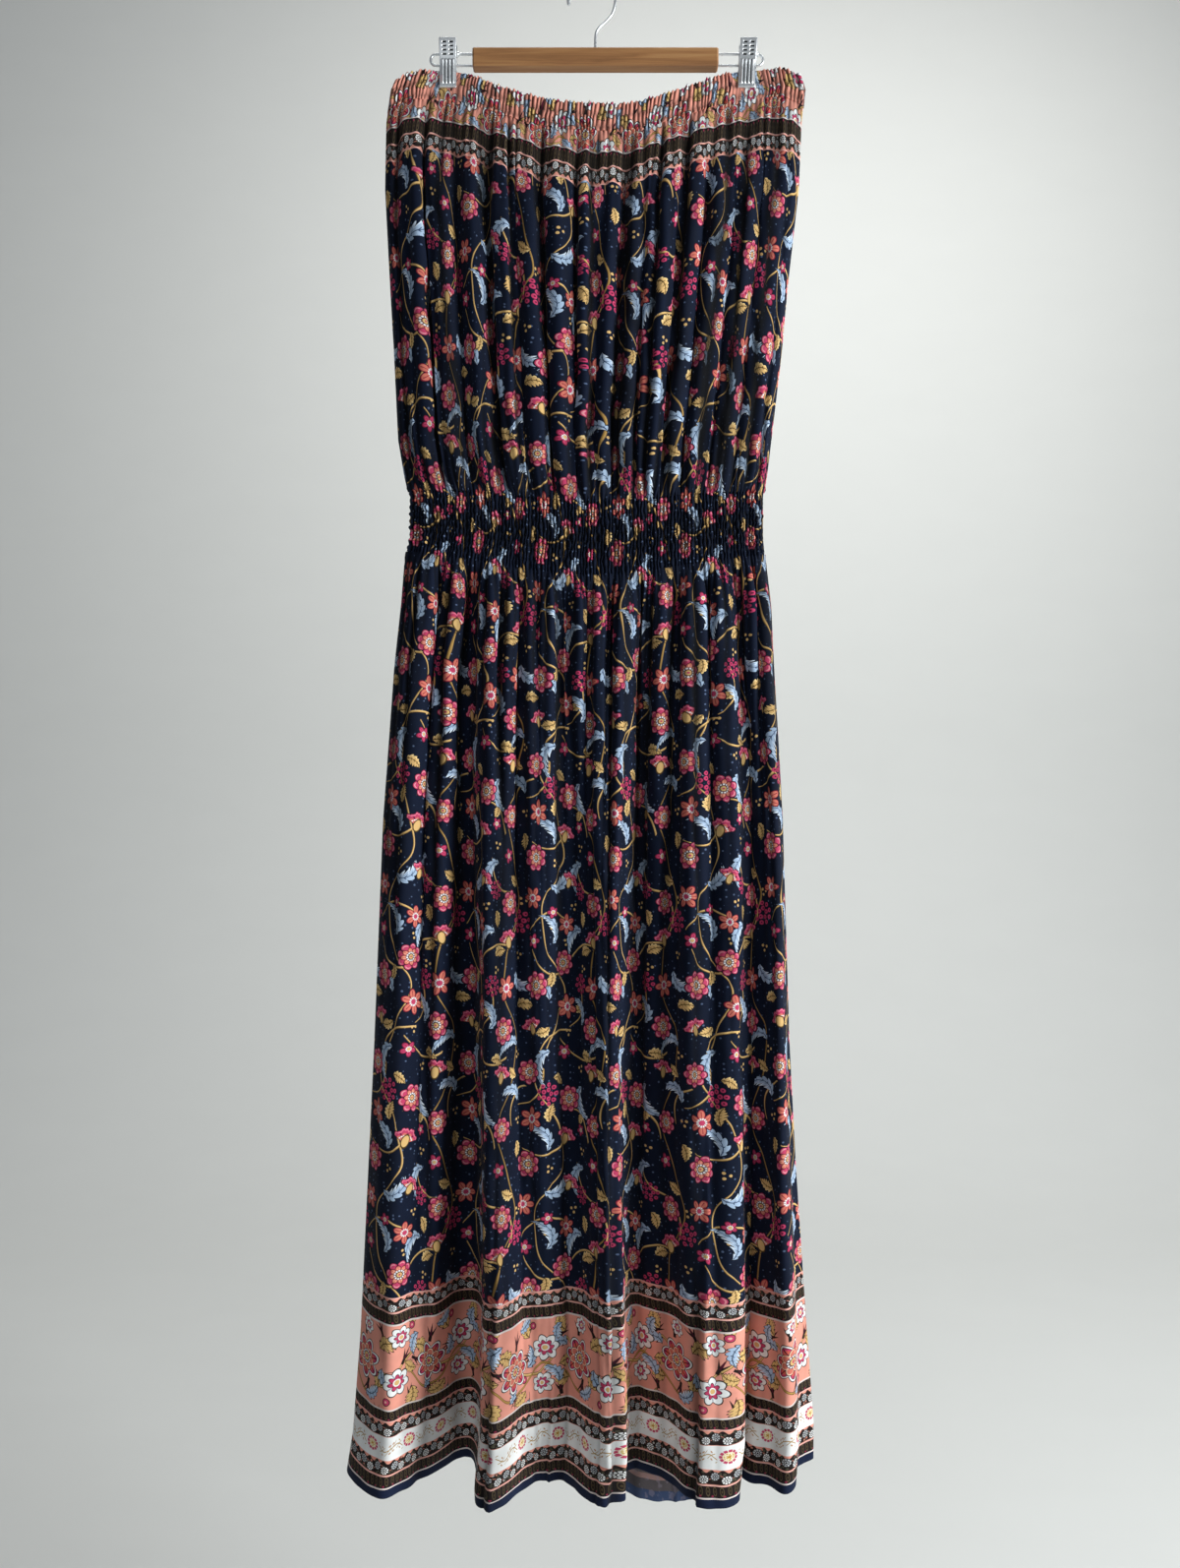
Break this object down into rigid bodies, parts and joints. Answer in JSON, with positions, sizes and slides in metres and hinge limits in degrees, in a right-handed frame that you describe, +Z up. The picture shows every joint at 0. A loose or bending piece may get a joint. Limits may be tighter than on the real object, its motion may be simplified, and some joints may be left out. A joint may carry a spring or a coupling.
{
  "type": "strapless dress on a clip hanger",
  "caption": "Long strapless dress with a gathered elastic neckline, shirred waist and bordered skirt, hanging flat from a wooden hanger with sliding metal clips.",
  "frame": {"origin": "inside top of the hook's round, where it lies on a rail", "axes": "+Z up, -Y the way the dress faces, +X to the viewer's right"},
  "size_m": [0.4251, 0.103, 1.4104],
  "materials": {
    "navy_print": "soft woven viscose, navy ground with a floral print",
    "coral_print": "soft woven viscose, coral border print, gathered on elastic",
    "hem_navy": "soft woven viscose, plain navy",
    "wood": "satin varnish",
    "chrome": "polished"
  },
  "bodies": {
    "root": {"hanger_bar": "wood", "hanger_hook": "chrome", "hanger_wire_left": "chrome", "hanger_wire_right": "chrome", "clip_left_front": "chrome", "clip_left_back": "chrome", "clip_right_front": "chrome", "clip_right_back": "chrome", "casing_front": "coral_print", "casing_back": "coral_print", "bodice_front": "navy_print", "bodice_back": "navy_print", "waist_front": "navy_print", "waist_back": "navy_print", "skirt_front": "navy_print", "skirt_back": "navy_print", "hem_front": "hem_navy", "hem_back": "hem_navy"}
  },
  "joints": []
}
